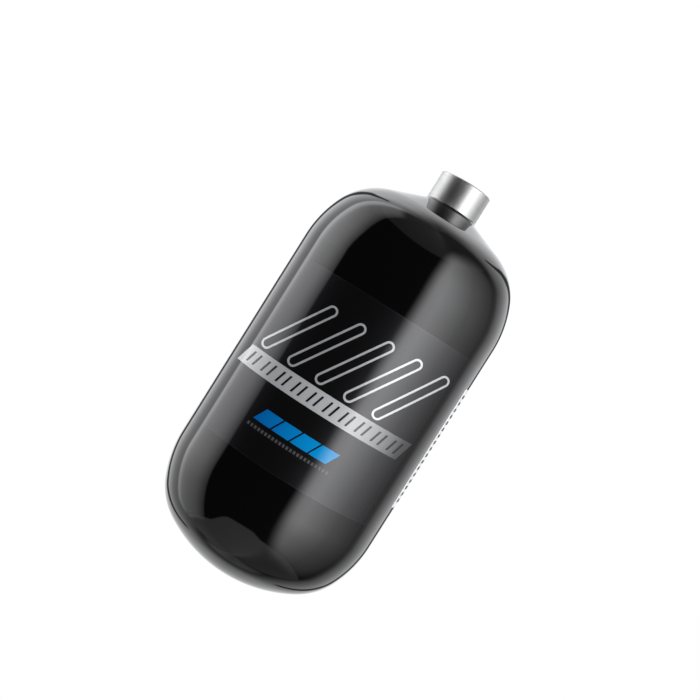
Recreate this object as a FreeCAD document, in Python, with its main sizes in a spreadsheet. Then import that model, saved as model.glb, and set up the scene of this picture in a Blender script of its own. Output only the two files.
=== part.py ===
import FreeCAD, Part
import math
import os

import Sketcher
from FreeCAD import Placement, Rotation, Vector

# A 1.5 litre compressed-air cylinder: a seamless aluminium liner with a threaded neck,
# wound with carbon and glass fibre, lacquered black, with a printed film sleeve let in flush.
# Millimetres. +Z runs up the axis through the neck; the origin is the middle of the base flat.
# Angles round the axis start at the front, -Y, and grow towards the right, +X.

doc = FreeCAD.newDocument("air_cylinder")
sheet = doc.addObject("Spreadsheet::Sheet", "Sizes")

DRIVING_SIZES = [
    # outside of the lacquer
    ("outer_radius", 59.0),
    ("outer_crown", 76.0),
    ("outer_base_knuckle", 34.5),
    ("outer_top_knuckle", 34.0),
    ("outer_cone_angle", 21.3),
    ("outer_neck_foot", 225.4),
    ("crown_angle", 32.2),
    ("knuckle_angle", 66.0),
    ("base_flat_radius", 14.0),
    # outside of the bare liner
    ("liner_crown", 80.0),
    ("liner_base_knuckle", 24.0),
    ("liner_top_knuckle", 26.0),
    ("liner_cone_angle", 30.0),
    ("base_build_up", 8.3),
    ("neck_build_up", 8.5),
    # liner wall, neck and thread
    ("liner_wall", 2.0),
    ("liner_base_wall", 3.0),
    ("liner_neck_wall", 2.2),
    ("neck_radius", 14.75),
    ("neck_top", 241.8),
    ("neck_edge_break", 0.5),
    ("thread_minor_radius", 8.188),
    ("ring_seat_radius", 10.6),
    ("ring_seat_depth", 2.4),
    ("ring_seat_angle", 30.0),
    # wound layers, at the straight wall, and their shares of the build-up on the ends
    ("barrier_thickness", 0.4),
    ("helical_thickness", 0.6),
    ("hoop_thickness", 0.75),
    ("hoop_taper", 6.0),
    ("glass_thickness", 0.4),
    ("lacquer_thickness", 0.3),
    ("barrier_share", 0.1),
    ("helical_share", 0.225),
    ("glass_share", 0.165),
    # resin fillet round the neck and the winding spigot under the base
    ("fillet_width", 2.4),
    ("fillet_rise", 0.8),
    ("spigot_radius", 6.0),
    ("spigot_socket", 1.5),
    # tool that faces the base flat
    ("facing_overrun", 1.0),
    ("facing_radius", 28.0),
    # printed film, let into the lacquer, and the ink let into the film
    ("film_thickness", 0.15),
    ("film_bottom", 63.6),
    ("film_top", 163.5),
    ("print_thickness", 0.1),
    ("shape_overrun", 5.0),
    ("band_bottom", 100.6),
    ("band_height", 10.8),
    ("band_left", -52.5),
    ("band_right", 46.5),
    ("band_slant", 3.4),
    ("slot_margin", 2.1),
    ("slot_width", 1.2),
    ("slot_first", -48.0),
    ("slot_pair_gap", 3.9),
    ("slot_pitch", 9.3),
    ("capsule_bottom", 113.0),
    ("capsule_rise", 37.0),
    ("capsule_lean", 20.0),
    ("capsule_half_width", 3.0),
    ("capsule_line", 1.1),
    ("capsule_first", -43.0),
    ("capsule_pitch", 16.5),
    ("lozenge_bottom", 81.6),
    ("lozenge_height", 7.4),
    ("lozenge_width", 9.9),
    ("lozenge_lean", 4.0),
    ("lozenge_first", -28.4),
    ("lozenge_pitch", 10.9),
    ("dash_bottom", 77.4),
    ("dash_height", 1.7),
    ("dash_width", 1.2),
    ("dash_first", -29.7),
    ("dash_pitch", 2.1),
    ("data_bottom", 76.8),
    ("data_height", 73.0),
    ("data_start", 72.5),
    ("data_sweep", 66.0),
    ("row_margin", 3.5),
    ("row_pitch", 4.0),
    ("row_height", 2.0),
    ("row_sweep", 60.0),
    ("row_step", 6.0),
]

HELICAL_LAYERS = 3
SLOT_PAIRS = 10
CAPSULES = 5
LOZENGES = 4
DASHES = 23
DATA_ROWS = 17
ROW_LENGTHS = 3
FRONT = -90

for line, (alias, number) in enumerate(DRIVING_SIZES, start=1):
    sheet.set(f"A{line}", alias.replace("_", " "))
    sheet.set(f"B{line}", str(number))
    sheet.setAlias(f"B{line}", alias)
doc.recompute()

sub_parts = []


def cell(alias):
    """The name by which a formula reads one driving size."""
    return f"Sizes.{alias}"


def value(formula):
    """Work out a formula over the driving sizes as a plain number."""
    result = sheet.evalExpression(formula)
    return float(getattr(result, "Value", result))


def sine(degrees):
    return math.sin(math.radians(degrees))


def cosine(degrees):
    return math.cos(math.radians(degrees))


def tangent(degrees):
    return math.tan(math.radians(degrees))


def keep(feature, label):
    """Mark a feature as a finished piece and give it the piece's name."""
    feature.Label = label
    sub_parts.append(feature)
    return feature


# ---------------------------------------------------------------- outlines of the layers


def between(inner, outer, share):
    """A size that goes from the liner's to the lacquer's as the layers build up."""
    return f"({cell(inner)} + ({cell(outer)} - {cell(inner)}) * ({share}))"


def outer_pole():
    """Height of the lacquer's crown on the axis, were it not flattened at the base."""
    crown = cell("outer_crown")
    flat = cell("base_flat_radius")
    return f"(sqrt({crown} * {crown} - {flat} * {flat}) - {crown})"


def layer_sizes(share, radius):
    """Formulas for the outside of the layers up to a share of the build-up."""
    left = f"(1 - ({share}))"
    return with_curve_ends(
        {
            "radius": radius,
            "crown": between("liner_crown", "outer_crown", share),
            "base_knuckle": between("liner_base_knuckle", "outer_base_knuckle", share),
            "top_knuckle": between("liner_top_knuckle", "outer_top_knuckle", share),
            "cone_angle": between("liner_cone_angle", "outer_cone_angle", share),
            "pole": f"{outer_pole()} + {cell('base_build_up')} * {left}",
            "foot": f"{cell('outer_neck_foot')} - {cell('neck_build_up')} * {left}",
            "neck": cell("neck_radius"),
        }
    )


def cavity_sizes():
    """Formulas for the air space inside the liner."""
    wall = cell("liner_wall")
    base_wall = cell("liner_base_wall")
    neck_wall = cell("liner_neck_wall")
    liner = layer_sizes("0", liner_radius())
    return with_curve_ends(
        {
            "radius": f"{liner['radius']} - {wall}",
            "crown": f"{liner['crown']} - {base_wall}",
            "base_knuckle": f"{liner['base_knuckle']} - {wall}",
            "top_knuckle": f"{liner['top_knuckle']} - {wall}",
            "cone_angle": liner["cone_angle"],
            "pole": f"{liner['pole']} + {base_wall}",
            "foot": f"{liner['foot']} - {neck_wall}",
            "neck": cell("thread_minor_radius"),
        }
    )


def with_curve_ends(size):
    """Add the places where the base's arcs meet and where the straight wall starts and ends."""
    first = cell("crown_angle")
    second = cell("knuckle_angle")
    cone = size["cone_angle"]
    rise = f"({size['base_knuckle']}) * (cos({first}) - cos({second}))"
    reach = f"({size['base_knuckle']}) * (sin({second}) - sin({first}))"
    size["crown_end"] = f"({size['crown']}) * sin({first})"
    size["knuckle_end"] = f"{size['crown_end']} + {reach}"
    blend = f"(({size['radius']}) - ({size['knuckle_end']})) / (1 - sin({second}))"
    size["blend"] = blend
    crown_rise = f"({size['crown']}) * (1 - cos({first}))"
    size["wall_bottom"] = f"{size['pole']} + {crown_rise} + {rise} + ({blend}) * cos({second})"
    top_reach = f"({size['top_knuckle']}) * (sin({second}) - sin({cone}))"
    top_rise = f"({size['top_knuckle']}) * (cos({cone}) - cos({second}))"
    cone_start = f"({size['knuckle_end']} - {top_reach})"
    cone_rise = f"({cone_start} - {size['neck']}) * tan({cone})"
    size["wall_top"] = f"{size['foot']} - {cone_rise} - {top_rise} - ({blend}) * cos({second})"
    return size


def layers_outside(*thicknesses):
    """Radius left after the named layers are taken off the outside."""
    return " - ".join([cell("outer_radius")] + [cell(name) for name in thicknesses])


def liner_radius():
    pairs = ["helical_thickness", "hoop_thickness"] * HELICAL_LAYERS
    return layers_outside("lacquer_thickness", "glass_thickness", *pairs, "barrier_thickness")


# ---------------------------------------------------------------- sketches and solids


def origin_plane(body, role):
    for feature in body.Origin.OriginFeatures:
        if feature.Role == role:
            return feature
    raise RuntimeError(f"{body.Name} has no {role}")


def new_sketch(body, name, role="XZ_Plane"):
    sketch = body.newObject("Sketcher::SketchObject", name)
    sketch.AttachmentSupport = [(origin_plane(body, role), "")]
    sketch.MapMode = "FlatFace"
    return sketch


def bind(sketch, name, constraint, formula):
    """Add a named dimension that follows a formula over the driving sizes."""
    index = sketch.addConstraint(constraint)
    sketch.renameConstraint(index, name)
    sketch.setExpression(f"Constraints.{name}", formula)


def arc(centre, radius, start, end):
    circle = Part.Circle(centre, Vector(0, 0, 1), radius)
    return Part.ArcOfCircle(circle, math.radians(start), math.radians(end))


def revolve(body, sketch, name, kind="PartDesign::Revolution"):
    feature = body.newObject(kind, name)
    feature.Profile = sketch
    feature.ReferenceAxis = (sketch, ["V_Axis"])
    feature.Angle = 360
    return feature


def vessel_outline(body, size):
    """Half outline of a closed vessel, drawn from the base pole up the outside and down the axis."""
    number = {name: value(formula) for name, formula in size.items()}
    first = value(cell("crown_angle"))
    second = value(cell("knuckle_angle"))
    cone = number["cone_angle"]
    crown = number["crown"]
    base = number["base_knuckle"]
    top = number["top_knuckle"]
    blend = number["blend"]

    crown_centre = Vector(0, number["pole"] + crown, 0)
    base_centre = crown_centre + Vector(sine(first), -cosine(first), 0) * (crown - base)
    low_blend_centre = Vector(number["radius"] - blend, number["wall_bottom"], 0)
    high_blend_centre = Vector(number["radius"] - blend, number["wall_top"], 0)
    cone_start = number["knuckle_end"] - top * (sine(second) - sine(cone))
    cone_foot = Vector(number["neck"], number["foot"], 0)
    cone_top = Vector(cone_start, number["foot"] - (cone_start - number["neck"]) * tangent(cone), 0)
    top_centre = cone_top - Vector(sine(cone), cosine(cone), 0) * top
    wall_low = Vector(number["radius"], number["wall_bottom"], 0)
    wall_high = Vector(number["radius"], number["wall_top"], 0)
    axis_high = Vector(0, number["foot"], 0)
    axis_low = Vector(0, number["pole"], 0)

    sketch = new_sketch(body, f"{body.Name}_outline")
    outline = [
        arc(crown_centre, crown, -90, first - 90),
        arc(base_centre, base, first - 90, second - 90),
        arc(low_blend_centre, blend, second - 90, 0),
        Part.LineSegment(wall_low, wall_high),
        arc(high_blend_centre, blend, 0, 90 - second),
        arc(top_centre, top, 90 - second, 90 - cone),
        Part.LineSegment(cone_top, cone_foot),
        Part.LineSegment(cone_foot, axis_high),
        Part.LineSegment(axis_high, axis_low),
    ]
    sketch.addGeometry(outline, False)
    start, end = 1, 2
    for index in range(6):
        sketch.addConstraint(Sketcher.Constraint("Tangent", index, end, index + 1, start))
    sketch.addConstraint(Sketcher.Constraint("Coincident", 6, end, 7, start))
    sketch.addConstraint(Sketcher.Constraint("Coincident", 7, end, 8, start))
    sketch.addConstraint(Sketcher.Constraint("Coincident", 8, end, 0, start))
    sketch.addConstraint(Sketcher.Constraint("PointOnObject", 0, 3, -2))
    sketch.addConstraint(Sketcher.Constraint("PointOnObject", 8, start, -2))
    sketch.addConstraint(Sketcher.Constraint("PointOnObject", 8, end, -2))
    sketch.addConstraint(Sketcher.Constraint("Vertical", 3))
    sketch.addConstraint(Sketcher.Constraint("Horizontal", 7))
    sketch.addConstraint(Sketcher.Constraint("Equal", 2, 4))
    sketch.addConstraint(Sketcher.Constraint("Vertical", 1, end, 4, end))

    def place(name, kind, geometry, point, size_name):
        made = Sketcher.Constraint(kind, -1, 1, geometry, point, number[size_name])
        bind(sketch, name, made, size[size_name])

    place("wall_radius", "DistanceX", 3, start, "radius")
    place("pole_height", "DistanceY", 0, start, "pole")
    place("crown_end", "DistanceX", 0, end, "crown_end")
    place("knuckle_end", "DistanceX", 1, end, "knuckle_end")
    place("neck_radius", "DistanceX", 6, end, "neck")
    place("foot_height", "DistanceY", 6, end, "foot")
    bind(sketch, "crown_radius", Sketcher.Constraint("Radius", 0, crown), size["crown"])
    bind(sketch, "base_radius", Sketcher.Constraint("Radius", 1, base), size["base_knuckle"])
    bind(sketch, "top_radius", Sketcher.Constraint("Radius", 5, top), size["top_knuckle"])
    slope = Sketcher.Constraint("Angle", -1, 1, 6, end, math.radians(-cone))
    bind(sketch, "cone_slope", slope, f"({size['cone_angle']}) * -1 deg")
    return sketch


def polygon_sketch(body, name, corners, role="XZ_Plane"):
    """A closed run of straight lines whose corners follow pairs of formulas."""
    sketch = new_sketch(body, name, role)
    points = [Vector(value(across), value(up), 0) for across, up in corners]
    count = len(points)
    for index, point in enumerate(points):
        sketch.addGeometry(Part.LineSegment(point, points[(index + 1) % count]), False)
    for index in range(count):
        sketch.addConstraint(Sketcher.Constraint("Coincident", index, 2, (index + 1) % count, 1))
    for index, (across, up) in enumerate(corners):
        point = points[index]
        for letter, kind, formula, number in (
            ("x", "DistanceX", across, point.x),
            ("y", "DistanceY", up, point.y),
        ):
            made = Sketcher.Constraint(kind, -1, 1, index, 1, number)
            bind(sketch, f"{letter}{index + 1}", made, formula)
    return sketch


def vessel_blank(name, size):
    """A solid vessel shape: the outside of one layer, filled right to the axis."""
    body = doc.addObject("PartDesign::Body", name)
    revolve(body, vessel_outline(body, size), f"{name}_turning")
    return body


def turned_ring(name, corners):
    body = doc.addObject("PartDesign::Body", name)
    revolve(body, polygon_sketch(body, f"{name}_section", corners), f"{name}_turning")
    return body


def cut_away(name, whole, inner_items):
    """What is left of a solid once everything inside it is taken away."""
    tool = inner_items[0]
    if len(inner_items) > 1:
        tool = doc.addObject("Part::MultiFuse", f"{name}_core")
        tool.Shapes = inner_items
    shell = doc.addObject("Part::Cut", f"{name}_shell")
    shell.Base = whole
    shell.Tool = tool
    return shell


def cylinder(name, radius, height, bottom):
    """A round bar on the axis."""
    bar = doc.addObject("Part::Cylinder", name)
    bar.setExpression("Radius", radius)
    bar.setExpression("Height", height)
    bar.Placement = Placement(Vector(0, 0, value(bottom)), Rotation())
    bar.setExpression("Placement.Base.z", bottom)
    return bar


def wedge(name, radius, height, bottom, start, sweep):
    """A slice of a round bar that starts at an angle from the front."""
    turn = f"{start} + {FRONT}"
    piece = cylinder(name, radius, height, bottom)
    piece.setExpression("Angle", f"({sweep}) * 1 deg")
    piece.Placement.Rotation = Rotation(Vector(0, 0, 1), value(turn))
    piece.setExpression("Placement.Rotation.Angle", f"({turn}) * 1 deg")
    return piece


def sleeve(name, inner, outer, bottom, height):
    """A thin round shell."""
    outside = cylinder(f"{name}_outside", outer, height, bottom)
    core = cylinder(f"{name}_inside", inner, height, bottom)
    shell = doc.addObject("Part::Cut", name)
    shell.Base = outside
    shell.Tool = core
    return shell


# ---------------------------------------------------------------- liner


def make_liner():
    """Aluminium liner: blank with its neck, less the air space, the bore and the ring seat."""
    size = layer_sizes("0", liner_radius())
    blank = vessel_blank("liner_blank", size)
    radius = cell("neck_radius")
    neck_top = cell("neck_top")
    edge = cell("neck_edge_break")
    neck = [
        ("0", size["foot"]),
        (radius, size["foot"]),
        (radius, f"{neck_top} - {edge}"),
        (f"{radius} - {edge}", neck_top),
        ("0", neck_top),
    ]
    revolve(blank, polygon_sketch(blank, "neck_section", neck), "neck_turning")

    cavity = vessel_blank("cavity_blank", cavity_sizes())
    bore = cell("thread_minor_radius")
    seat = cell("ring_seat_radius")
    seat_floor = f"{neck_top} - {cell('ring_seat_depth')}"
    seat_cone = f"({seat} - {bore}) * tan({cell('ring_seat_angle')})"
    opening = [
        ("0", cavity_sizes()["foot"]),
        (bore, cavity_sizes()["foot"]),
        (bore, f"{seat_floor} - {seat_cone}"),
        (seat, seat_floor),
        (seat, neck_top),
        ("0", neck_top),
    ]
    revolve(cavity, polygon_sketch(cavity, "bore_section", opening), "bore_turning")
    keep(cut_away("liner", blank, [cavity]), "liner")
    return blank


# ---------------------------------------------------------------- winding and lacquer


def make_spigot_bar():
    """Round bar on the axis under the liner, which the fibres are wound round."""
    liner_pole = layer_sizes("0", liner_radius())["pole"]
    top = f"{liner_pole} + {cell('spigot_socket')}"
    return cylinder("spigot_bar", cell("spigot_radius"), top, "0")


def make_hoop(number, size):
    """Hoop winding on the straight wall of the layer below it, feathered out at both ends."""
    radius = size["radius"]
    outside = f"{radius} + {cell('hoop_thickness')}"
    taper = cell("hoop_taper")
    corners = [
        (radius, size["wall_bottom"]),
        (outside, f"{size['wall_bottom']} + {taper}"),
        (outside, f"{size['wall_top']} - {taper}"),
        (radius, size["wall_top"]),
    ]
    return keep(turned_ring(f"hoop_{number}_ring", corners), f"carbon_hoop_{number}")


def flatten_base(body, height):
    """Turn the base of a blank flat at a height, out to where its crown reaches that height."""
    reach = cell("facing_radius")
    below = f"{outer_pole()} - {cell('facing_overrun')}"
    corners = [
        ("0", below),
        (reach, below),
        (reach, height),
        ("0", height),
    ]
    doc.recompute()
    before = body.Shape.Volume
    section = polygon_sketch(body, f"{body.Name}_flat", corners)
    groove = revolve(body, section, f"{body.Name}_facing", "PartDesign::Groove")
    doc.recompute()
    if body.Shape.Volume >= before:
        raise RuntimeError(f"{groove.Name} cut nothing")


def add_neck_fillet(body, size):
    """Hollow resin fillet where the lacquer runs up to the neck, tangent to the cone below it."""
    neck = cell("neck_radius")
    slope = cell("outer_cone_angle")
    drop = f"{cell('fillet_width')} * tan({slope})"
    inner = Vector(value(neck), value(size["foot"]), 0)
    high = inner + Vector(0, value(cell("fillet_rise")), 0)
    low = inner + Vector(value(cell("fillet_width")), -value(drop), 0)
    chord = high - low
    turn = 2 * (math.degrees(math.atan2(chord.y, -chord.x)) - value(slope))
    radius = chord.Length / (2 * sine(turn / 2))
    centre = low + Vector(sine(value(slope)), cosine(value(slope)), 0) * radius
    low_angle = 270 - value(slope)

    sketch = new_sketch(body, "fillet_section")
    sketch.addGeometry(Part.LineSegment(inner, high), False)
    sketch.addGeometry(arc(centre, radius, low_angle - turn, low_angle), False)
    sketch.addGeometry(Part.LineSegment(low, inner), False)
    sketch.addConstraint(Sketcher.Constraint("Coincident", 0, 2, 1, 1))
    sketch.addConstraint(Sketcher.Constraint("Tangent", 1, 2, 2, 1))
    sketch.addConstraint(Sketcher.Constraint("Coincident", 2, 2, 0, 1))
    sketch.addConstraint(Sketcher.Constraint("Vertical", 0))
    ends = [
        ("inner_x", "DistanceX", 0, inner.x, neck),
        ("inner_y", "DistanceY", 0, inner.y, size["foot"]),
        ("high_y", "DistanceY", 1, high.y, f"{size['foot']} + {cell('fillet_rise')}"),
        ("low_x", "DistanceX", 2, low.x, f"{neck} + {cell('fillet_width')}"),
        ("low_y", "DistanceY", 2, low.y, f"{size['foot']} - {drop}"),
    ]
    for name, kind, geometry, number, formula in ends:
        bind(sketch, name, Sketcher.Constraint(kind, -1, 1, geometry, 1, number), formula)
    revolve(body, sketch, "fillet_turning")


def make_winding(liner_blank, film):
    """Glass barrier, carbon helicals and hoops in turn, glass overwrap, then the lacquer."""
    spigot_bar = make_spigot_bar()
    radius = f"{liner_radius()} + {cell('barrier_thickness')}"
    share = cell("barrier_share")
    size = layer_sizes(share, radius)
    under = [vessel_blank("barrier_blank", size)]
    keep(cut_away("barrier", under[0], [liner_blank, spigot_bar]), "barrier_ply")

    for number in range(1, HELICAL_LAYERS + 1):
        radius = f"{radius} + {cell('helical_thickness')}"
        share = f"{share} + {cell('helical_share')}"
        size = layer_sizes(share, radius)
        blank = vessel_blank(f"helical_{number}_blank", size)
        wound = cut_away(f"helical_{number}", blank, under + [liner_blank, spigot_bar])
        keep(wound, f"carbon_helical_{number}")
        under = [blank, make_hoop(number, size)]
        radius = f"{radius} + {cell('hoop_thickness')}"

    spigot = doc.addObject("Part::Common", "spigot_end")
    spigot.Base = spigot_bar
    spigot.Tool = under[0]
    keep(cut_away("spigot", spigot, [liner_blank]), "base_spigot")

    radius = f"{radius} + {cell('glass_thickness')}"
    share = f"{share} + {cell('glass_share')}"
    glass_blank = vessel_blank("glass_blank", layer_sizes(share, radius))
    flatten_base(glass_blank, cell("lacquer_thickness"))
    keep(cut_away("glass", glass_blank, under + [liner_blank]), "glass_overwrap")

    lacquer_size = layer_sizes("1", cell("outer_radius"))
    lacquer_blank = vessel_blank("lacquer_blank", lacquer_size)
    add_neck_fillet(lacquer_blank, lacquer_size)
    flatten_base(lacquer_blank, "0")
    keep(cut_away("lacquer", lacquer_blank, [glass_blank, liner_blank, film]), "lacquer_coat")


# ---------------------------------------------------------------- printed film


def make_film_sleeve():
    """Film sleeve before its ink is let in: it sits flush in the lacquer round the barrel."""
    inner = f"{cell('outer_radius')} - {cell('film_thickness')}"
    height = f"{cell('film_top')} - {cell('film_bottom')}"
    return sleeve("film_sleeve", inner, cell("outer_radius"), cell("film_bottom"), height)


def ink_sleeve(name, bottom, height):
    """Ink-thick sleeve at the face of the film."""
    inner = f"{cell('outer_radius')} - {cell('print_thickness')}"
    return sleeve(name, inner, cell("outer_radius"), bottom, height)


def beyond_wall():
    """Reach of the shapes that cut printed areas out of an ink sleeve."""
    return f"{cell('outer_radius')} + {cell('shape_overrun')}"


def ink_sector(name, bottom, height, start, sweep):
    """The part of an ink sleeve between two angles."""
    sector = doc.addObject("Part::Common", name)
    sector.Base = ink_sleeve(f"{name}_sleeve", bottom, height)
    sector.Tool = wedge(f"{name}_wedge", beyond_wall(), height, bottom, start, sweep)
    return sector


def printed(name, label, prisms, bottom, height):
    """Printed shapes: the part of the ink sleeve that lies inside the shapes drawn in front."""
    stencil = prisms[0]
    if len(prisms) > 1:
        stencil = doc.addObject("Part::MultiFuse", f"{name}_stencil")
        stencil.Shapes = prisms
    inked = doc.addObject("Part::Common", f"{name}_ink")
    inked.Base = ink_sleeve(f"{name}_sleeve", bottom, height)
    inked.Tool = stencil
    return keep(inked, label)


def prism_of(body, sketch, name):
    """Run a drawn shape forwards from the axis plane to beyond the wall."""
    pad = body.newObject("PartDesign::Pad", name)
    pad.Profile = sketch
    pad.setExpression("Length", beyond_wall())
    return body


def slanted_prism(name, left, width, bottom, height, lean):
    """A bar with upright ends leaning to the right."""
    body = doc.addObject("PartDesign::Body", name)
    corners = [
        (left, bottom),
        (f"{left} + {width}", bottom),
        (f"{left} + {width} + {lean}", f"{bottom} + {height}"),
        (f"{left} + {lean}", f"{bottom} + {height}"),
    ]
    return prism_of(body, polygon_sketch(body, f"{name}_shape", corners), f"{name}_run")


def capsule_wire(foot, head, half_width):
    """Long rounded shape round two points, as two straight sides and two half circles."""
    along = head - foot
    along.normalize()
    side = Vector(-along.y, along.x, 0) * half_width
    reach = along * half_width
    return [
        Part.LineSegment(foot - side, head - side),
        Part.Arc(head - side, head + reach, head + side),
        Part.LineSegment(head + side, foot + side),
        Part.Arc(foot + side, foot - reach, foot - side),
    ]


def capsule_prism(number):
    """One leaning capsule drawn as an outline of even line width."""
    body = doc.addObject("PartDesign::Body", f"capsule_{number}")
    sketch = new_sketch(body, f"capsule_{number}_shape")
    half = value(cell("capsule_half_width"))
    line = value(cell("capsule_line"))
    left = value(cell("capsule_first")) + number * value(cell("capsule_pitch"))
    low = value(cell("capsule_bottom")) + half
    rise = value(cell("capsule_rise")) - 2 * half
    foot = Vector(left, low, 0)
    head = Vector(left + value(cell("capsule_lean")), low + rise, 0)
    for offset in (half, half - line):
        sketch.addGeometry(capsule_wire(foot, head, offset), False)
    start, end = 1, 2
    for base in (0, 4):
        for index in range(4):
            after = base + (index + 1) % 4
            sketch.addConstraint(Sketcher.Constraint("Tangent", base + index, end, after, start))
    sketch.addConstraint(Sketcher.Constraint("Coincident", 1, 3, 5, 3))
    sketch.addConstraint(Sketcher.Constraint("Coincident", 3, 3, 7, 3))
    sketch.addConstraint(Sketcher.Constraint("Equal", 1, 3))
    sketch.addConstraint(Sketcher.Constraint("Equal", 5, 7))
    centre_x = f"{cell('capsule_first')} + {number} * {cell('capsule_pitch')}"
    centre_y = f"{cell('capsule_bottom')} + {cell('capsule_half_width')}"
    head_y = f"{centre_y} + {cell('capsule_rise')} - 2 * {cell('capsule_half_width')}"
    inner = f"{cell('capsule_half_width')} - {cell('capsule_line')}"
    dimensions = [
        ("foot_x", "DistanceX", 3, foot.x, centre_x),
        ("foot_y", "DistanceY", 3, foot.y, centre_y),
        ("head_x", "DistanceX", 1, head.x, f"{centre_x} + {cell('capsule_lean')}"),
        ("head_y", "DistanceY", 1, head.y, head_y),
    ]
    for name, kind, geometry, number_now, formula in dimensions:
        bind(sketch, name, Sketcher.Constraint(kind, -1, 1, geometry, 3, number_now), formula)
    bind(sketch, "outer", Sketcher.Constraint("Radius", 1, half), cell("capsule_half_width"))
    bind(sketch, "inner", Sketcher.Constraint("Radius", 5, half - line), inner)
    return prism_of(body, sketch, f"capsule_{number}_run")


def slanted_row(name, count, first, pitch, width, bottom, height, lean):
    """A row of equal leaning bars."""
    bars = []
    for number in range(count):
        left = f"{first} + {number} * {pitch}"
        bars.append(slanted_prism(f"{name}_{number}", left, width, bottom, height, lean))
    return bars


def make_band():
    """Silver band with pairs of leaning slots that show the film behind it."""
    height = cell("band_height")
    slant = cell("band_slant")
    width = f"{cell('band_right')} - {cell('band_left')} - {slant}"
    bar = slanted_prism("band_bar", cell("band_left"), width, cell("band_bottom"), height, slant)

    margin = cell("slot_margin")
    bottom = f"{cell('band_bottom')} + {margin}"
    slot_height = f"({height} - 2 * {margin})"
    lean = f"{slant} * {slot_height} / {height}"
    slots = []
    for side, offset in enumerate(("0", cell("slot_pair_gap"))):
        first = f"{cell('slot_first')} + {offset}"
        slots += slanted_row(f"slot_{side}", SLOT_PAIRS, first, cell("slot_pitch"),
                             cell("slot_width"), bottom, slot_height, lean)
    slotted = cut_away("band", bar, slots)
    return printed("band", "silver_band", [slotted], cell("band_bottom"), height)


def make_data_label():
    """Plain label on the right-hand side, and the rows of blank bars printed in it."""
    margin = f"({cell('data_sweep')} - {cell('row_sweep')}) / 2"
    bars = []
    for number in range(DATA_ROWS):
        bottom = f"{cell('data_bottom')} + {cell('row_margin')} + {number} * {cell('row_pitch')}"
        length = f"({cell('row_sweep')} - {number % ROW_LENGTHS} * {cell('row_step')})"
        start = f"({cell('data_start')} + {margin})"
        bars.append(ink_sector(f"row_{number}", bottom, cell("row_height"), start, length))
    rows = doc.addObject("Part::Compound", "rows")
    rows.Links = bars
    plate = ink_sector("data_plate", cell("data_bottom"), cell("data_height"),
                       cell("data_start"), cell("data_sweep"))
    label = cut_away("data", plate, [rows])
    return [keep(label, "data_label"), keep(rows, "data_rows")]


def make_print(film):
    """All the printed shapes, and the film with the shallow places they fill."""
    inks = [make_band()]
    capsules = [capsule_prism(number) for number in range(CAPSULES)]
    inks.append(printed("capsules", "silver_capsules", capsules, cell("capsule_bottom"),
                        cell("capsule_rise")))
    lozenges = slanted_row("lozenge", LOZENGES, cell("lozenge_first"), cell("lozenge_pitch"),
                           cell("lozenge_width"), cell("lozenge_bottom"), cell("lozenge_height"),
                           cell("lozenge_lean"))
    inks.append(printed("lozenges", "blue_lozenges", lozenges, cell("lozenge_bottom"),
                        cell("lozenge_height")))
    dashes = slanted_row("dash", DASHES, cell("dash_first"), cell("dash_pitch"),
                         cell("dash_width"), cell("dash_bottom"), cell("dash_height"), "0")
    inks.append(printed("dashes", "grey_dashes", dashes, cell("dash_bottom"), cell("dash_height")))
    inks += make_data_label()
    keep(cut_away("film", film, inks), "label_film")


# ---------------------------------------------------------------- build, check and write

blank_of_liner = make_liner()
film_blank = make_film_sleeve()
make_winding(blank_of_liner, film_blank)
make_print(film_blank)
doc.recompute()

for item in doc.Objects:
    if "Invalid" in item.State or "Error" in item.State:
        raise RuntimeError(f"{item.Name} failed: {item.State}")

os.makedirs("parts", exist_ok=True)
for item in sub_parts:
    if item.Shape.isNull() or not item.Shape.isValid():
        raise RuntimeError(f"{item.Label} has no valid shape")
    item.Shape.exportStep(f"parts/{item.Label}.step")
    box = item.Shape.BoundBox
    print(f"{item.Label}: {len(item.Shape.Solids)} solid(s), {item.Shape.Volume / 1000:.3f} cm3, "
          f"z {box.ZMin:.2f} to {box.ZMax:.2f}")

air = doc.getObject("cavity_blank").Shape.Volume
print(f"air space with the bore: {air / 1e6:.3f} litres")
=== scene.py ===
import math

import bmesh
import bpy
from mathutils import Matrix, Vector


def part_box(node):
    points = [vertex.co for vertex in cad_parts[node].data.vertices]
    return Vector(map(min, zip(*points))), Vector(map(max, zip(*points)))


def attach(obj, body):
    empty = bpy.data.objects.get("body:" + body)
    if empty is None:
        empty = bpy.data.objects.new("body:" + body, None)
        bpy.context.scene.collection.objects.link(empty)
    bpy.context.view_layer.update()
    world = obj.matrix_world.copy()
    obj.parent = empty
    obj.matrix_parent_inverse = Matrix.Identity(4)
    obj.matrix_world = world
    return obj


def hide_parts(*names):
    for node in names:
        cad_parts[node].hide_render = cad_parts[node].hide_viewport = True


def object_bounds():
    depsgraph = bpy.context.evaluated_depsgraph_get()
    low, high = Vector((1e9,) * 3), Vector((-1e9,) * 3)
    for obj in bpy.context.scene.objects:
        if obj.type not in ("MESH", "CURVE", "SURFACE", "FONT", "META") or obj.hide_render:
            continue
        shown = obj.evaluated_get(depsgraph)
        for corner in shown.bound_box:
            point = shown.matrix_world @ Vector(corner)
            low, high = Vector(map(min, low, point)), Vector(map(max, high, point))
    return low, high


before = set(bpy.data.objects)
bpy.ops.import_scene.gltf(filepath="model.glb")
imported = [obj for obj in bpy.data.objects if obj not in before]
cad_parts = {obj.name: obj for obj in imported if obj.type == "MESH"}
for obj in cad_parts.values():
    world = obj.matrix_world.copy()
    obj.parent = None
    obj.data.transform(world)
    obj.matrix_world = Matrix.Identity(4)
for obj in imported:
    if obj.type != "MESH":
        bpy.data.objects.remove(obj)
cad_low, cad_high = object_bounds()

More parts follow.
